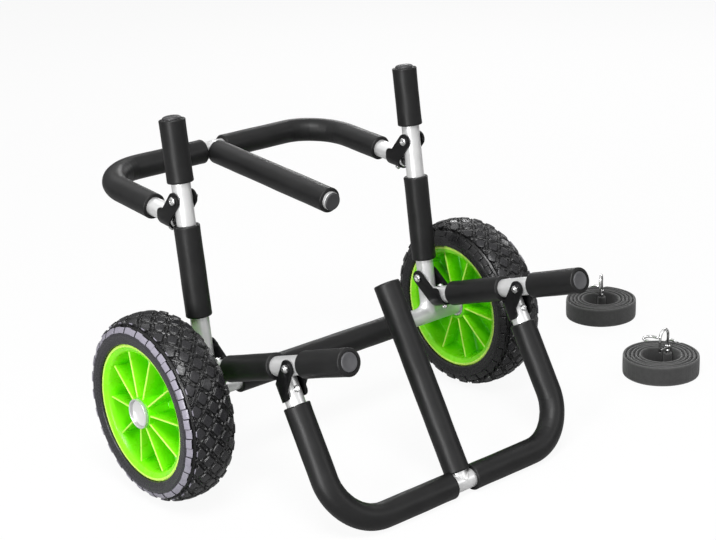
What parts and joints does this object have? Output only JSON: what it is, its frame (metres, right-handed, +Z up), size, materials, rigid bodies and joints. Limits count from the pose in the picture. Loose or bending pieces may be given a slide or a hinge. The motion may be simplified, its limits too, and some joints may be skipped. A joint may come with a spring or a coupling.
{
  "type": "surfboard cart",
  "caption": "Folding two-wheeled cart for surfboards or paddle boards, with padded arms, stand and rack that hold the boards on edge, and coiled tie-down straps.",
  "frame": {"origin": "on the ground, in the middle of the cart's footprint box, straps left out", "axes": "+X along the axle to the cart's right as seen from the arms' end, +Y from the arms toward the rack along the board slots, +Z up"},
  "size_m": [0.9963, 0.5676, 0.4968],
  "materials": {
    "tube": "satin",
    "foam": "matte",
    "cap": "matte",
    "powder_coat": "satin",
    "zinc": "satin",
    "tyre": "satin",
    "rim": "gloss",
    "bush": "satin",
    "webbing": "matte",
    "wire": "polished"
  },
  "bodies": {
    "frame": {"arm_pivot_bolt_left": "zinc", "arm_pivot_bolt_right": "zinc", "axle_cap_left": "zinc", "axle_cap_right": "zinc", "axle_foam": "foam", "axle_ring_left": "zinc", "axle_ring_right": "zinc", "frame_tube": "tube", "rack_pivot_bolt_left": "zinc", "rack_pivot_bolt_right": "zinc", "upright_cap_left": "cap", "upright_cap_right": "cap", "upright_foam_left": "foam", "upright_foam_right": "foam", "upright_grip_left": "foam", "upright_grip_right": "foam"},
    "wheel_left": {"hub_bush_left": "bush", "rim_left": "rim", "tyre_left": "tyre"},
    "wheel_right": {"hub_bush_right": "bush", "rim_right": "rim", "tyre_right": "tyre"},
    "arms": {"arm_bracket_left": "powder_coat", "arm_bracket_right": "powder_coat", "arm_bracket_screw_left": "zinc", "arm_bracket_screw_right": "zinc", "arm_cap_left": "cap", "arm_cap_right": "cap", "arm_foam_left": "foam", "arm_foam_right": "foam", "arm_grip_left": "foam", "arm_grip_right": "foam", "arm_tube_left": "tube", "arm_tube_right": "tube", "stand_pivot_bolt_left": "zinc", "stand_pivot_bolt_right": "zinc"},
    "stand": {"stand_bracket_left": "powder_coat", "stand_bracket_right": "powder_coat", "stand_bracket_screw_left": "zinc", "stand_bracket_screw_right": "zinc", "stand_foam_left": "foam", "stand_foam_right": "foam", "stand_prong_cap": "cap", "stand_prong_foam": "foam", "stand_tube": "tube"},
    "rack": {"rack_bracket_left": "powder_coat", "rack_bracket_right": "powder_coat", "rack_bracket_screw_left": "zinc", "rack_bracket_screw_right": "zinc", "rack_foam_left": "foam", "rack_foam_right": "foam", "rack_prong_cap": "cap", "rack_prong_foam": "foam", "rack_tube": "tube"},
    "strap_1": {"strap_1_band": "webbing", "strap_1_inner_hook": "wire", "strap_1_outer_hook": "wire"},
    "strap_2": {"strap_2_band": "webbing", "strap_2_inner_hook": "wire", "strap_2_outer_hook": "wire"}
  },
  "joints": [
    {"name": "arms_fold", "type": "hinge", "parent": "frame", "child": "arms", "pos_m": [0, 0.02675, 0.185], "axis": [-1, 0, 0], "range_deg": [0, 48]},
    {"name": "stand_fold", "type": "hinge", "parent": "arms", "child": "stand", "pos_m": [0, -0.17515, 0.21883], "axis": [-1, 0, 0], "range_deg": [0, 58]},
    {"name": "rack_fold", "type": "hinge", "parent": "frame", "child": "rack", "pos_m": [0, 0.05042, 0.38722], "axis": [1, 0, 0], "range_deg": [0, 68]},
    {"name": "wheel_left_turn", "type": "hinge", "parent": "frame", "child": "wheel_left", "pos_m": [-0.277, 0.01996, 0.127], "axis": [1, 0, 0], "continuous": true},
    {"name": "wheel_right_turn", "type": "hinge", "parent": "frame", "child": "wheel_right", "pos_m": [0.277, 0.01996, 0.127], "axis": [1, 0, 0], "continuous": true},
    {"name": "strap_1_lift", "type": "slide", "parent": "frame", "child": "strap_1", "axis": [0, 0, 1], "range_m": [0, 0.3]},
    {"name": "strap_2_lift", "type": "slide", "parent": "frame", "child": "strap_2", "axis": [0, 0, 1], "range_m": [0, 0.3]}
  ]
}
